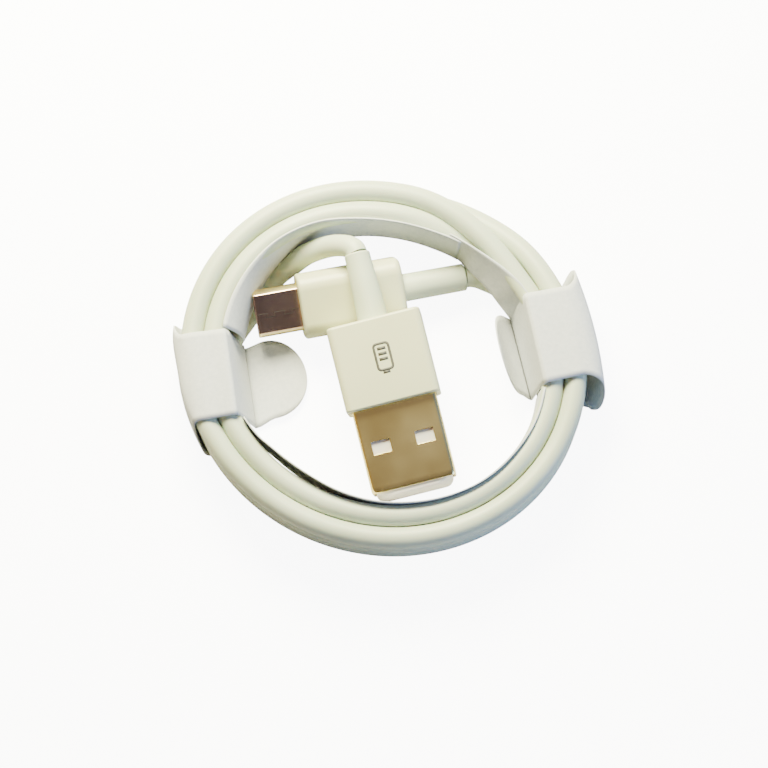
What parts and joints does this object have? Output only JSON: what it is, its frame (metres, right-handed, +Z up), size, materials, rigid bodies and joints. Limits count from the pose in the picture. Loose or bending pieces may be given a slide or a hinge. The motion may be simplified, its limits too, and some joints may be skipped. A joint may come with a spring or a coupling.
{
  "type": "charging cable",
  "caption": "Coiled USB type-A to micro-B charging cable, held in a round coil by a folded paper wrapper with tuck flaps.",
  "frame": {"origin": "middle of the coil, on the surface that it lies on", "axes": "+Z up, square to the coil; +X towards the right-hand fold of the paper; the type-A plug points towards -Y and the micro-B plug towards -X"},
  "size_m": [0.0587, 0.0536, 0.0135],
  "materials": {
    "cable_jacket": "smooth satin white thermoplastic jacket",
    "relief_plastic": "satin moulded white elastomer",
    "plug_plastic": "semi-gloss moulded white ABS",
    "insulator_plastic": "moulded white, satin",
    "type_a_metal": "bright nickel plate on pressed steel, fine scuffs",
    "micro_b_metal": "polished stainless steel sheet",
    "contact_gold": "gold flash on copper alloy",
    "crimp_steel": "plain crimped steel",
    "wrapper_paper": "smooth uncoated white card, creased",
    "wire_red": "red insulated wire",
    "wire_white": "white insulated wire",
    "wire_green": "green insulated wire",
    "wire_black": "black insulated wire"
  },
  "bodies": {
    "wrapped_cable": {"cable_coil": "cable_jacket", "type_a_lead": "cable_jacket", "micro_b_lead": "cable_jacket", "type_a_housing": "plug_plastic", "type_a_metal_tube": "type_a_metal", "type_a_insulator": "insulator_plastic", "type_a_inner_mould": "insulator_plastic", "type_a_strain_relief": "relief_plastic", "type_a_cord_end": "cable_jacket", "type_a_crimp_ring": "crimp_steel", "type_a_contact_1": "contact_gold", "type_a_contact_2": "contact_gold", "type_a_contact_3": "contact_gold", "type_a_contact_4": "contact_gold", "type_a_wire_1": "wire_red", "type_a_wire_2": "wire_white", "type_a_wire_3": "wire_green", "type_a_wire_4": "wire_black", "micro_b_housing": "plug_plastic", "micro_b_metal_tube": "micro_b_metal", "micro_b_insulator": "insulator_plastic", "micro_b_inner_mould": "insulator_plastic", "micro_b_strain_relief": "relief_plastic", "micro_b_cord_end": "cable_jacket", "micro_b_contact_1": "contact_gold", "micro_b_contact_2": "contact_gold", "micro_b_contact_3": "contact_gold", "micro_b_contact_4": "contact_gold", "micro_b_contact_5": "contact_gold", "micro_b_wire_1": "wire_red", "micro_b_wire_2": "wire_white", "micro_b_wire_3": "wire_green", "micro_b_wire_4": "wire_black", "paper_band_back": "wrapper_paper", "paper_band_left_end": "wrapper_paper", "paper_band_overlap": "wrapper_paper", "paper_band_front": "wrapper_paper", "left_wrap": "wrapper_paper", "right_wrap": "wrapper_paper"},
    "left_flap": {"left_tuck_flap": "wrapper_paper"},
    "right_flap": {"right_tuck_flap": "wrapper_paper"},
    "latch_left": {"micro_b_latch_left": "micro_b_metal"},
    "latch_right": {"micro_b_latch_right": "micro_b_metal"}
  },
  "joints": [
    {"name": "left_flap_fold", "type": "hinge", "parent": "wrapped_cable", "child": "left_flap", "pos_m": [-0.01875, 0.0015, 0.0003], "axis": [0, -1, 0], "range_deg": [0, 80]},
    {"name": "right_flap_fold", "type": "hinge", "parent": "wrapped_cable", "child": "right_flap", "pos_m": [0.0196, -0.001, 0.0004], "axis": [0, 1, 0], "range_deg": [-60, 18]},
    {"name": "latch_left_press", "type": "hinge", "parent": "wrapped_cable", "child": "latch_left", "pos_m": [-0.00611, 0.00882, 0.00334], "axis": [-0.0014, 0.9276, 0.3737], "range_deg": [0, 2], "stiffness_Nm_per_rad": 0.002},
    {"name": "latch_right_press", "type": "hinge", "parent": "wrapped_cable", "child": "latch_right", "pos_m": [-0.00612, 0.01328, 0.00514], "axis": [-0.0014, 0.9276, 0.3737], "range_deg": [0, 2], "stiffness_Nm_per_rad": 0.002}
  ]
}
